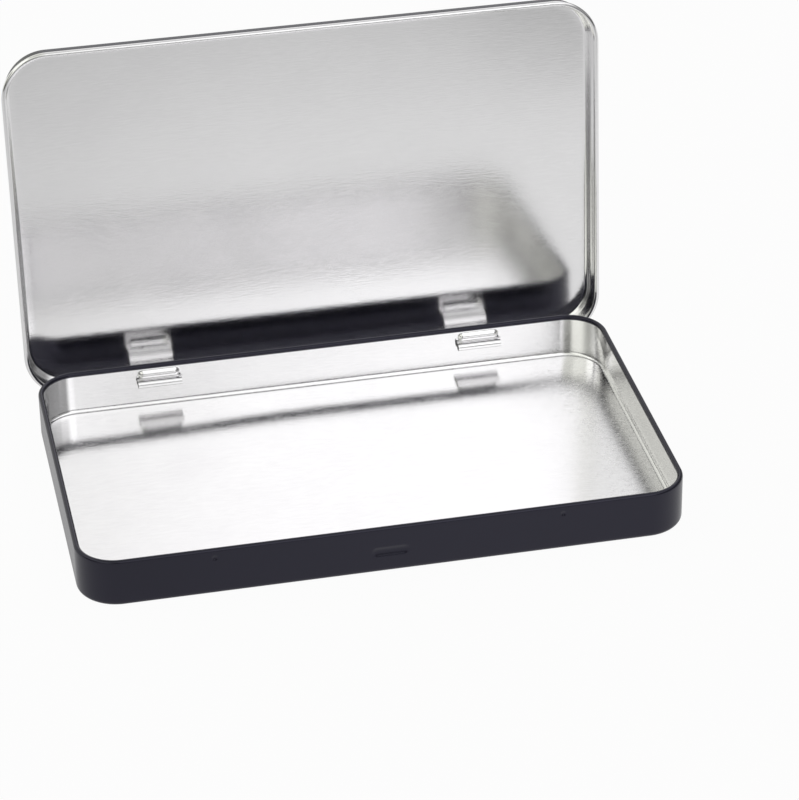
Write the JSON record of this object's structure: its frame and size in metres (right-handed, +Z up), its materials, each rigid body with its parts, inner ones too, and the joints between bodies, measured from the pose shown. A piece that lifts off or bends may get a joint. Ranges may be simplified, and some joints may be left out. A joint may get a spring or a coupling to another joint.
{
  "type": "card game tin with hinged lid",
  "caption": "Flat tinplate case with rounded corners and a shallow slip lid that swings open on curled tongues at the rear.",
  "frame": {"origin": "centre of the tray's flat underside", "axes": "+X along the width and the hinge line, +Y towards the hinge side, +Z up"},
  "size_m": [0.1946, 0.1365, 0.1247],
  "materials": {
    "black_lacquer": "satin",
    "bare_tinplate": "semi-gloss"
  },
  "bodies": {
    "base": {"base_tray": "black_lacquer"},
    "lid": {"lid_shell": "black_lacquer", "hinge_tongue_left": "bare_tinplate", "hinge_tongue_right": "bare_tinplate"}
  },
  "joints": [
    {"name": "lid_hinge", "type": "hinge", "parent": "base", "child": "lid", "pos_m": [0, 0.0595, 0.00547], "axis": [1, 0, 0], "range_deg": [0, 94]}
  ]
}
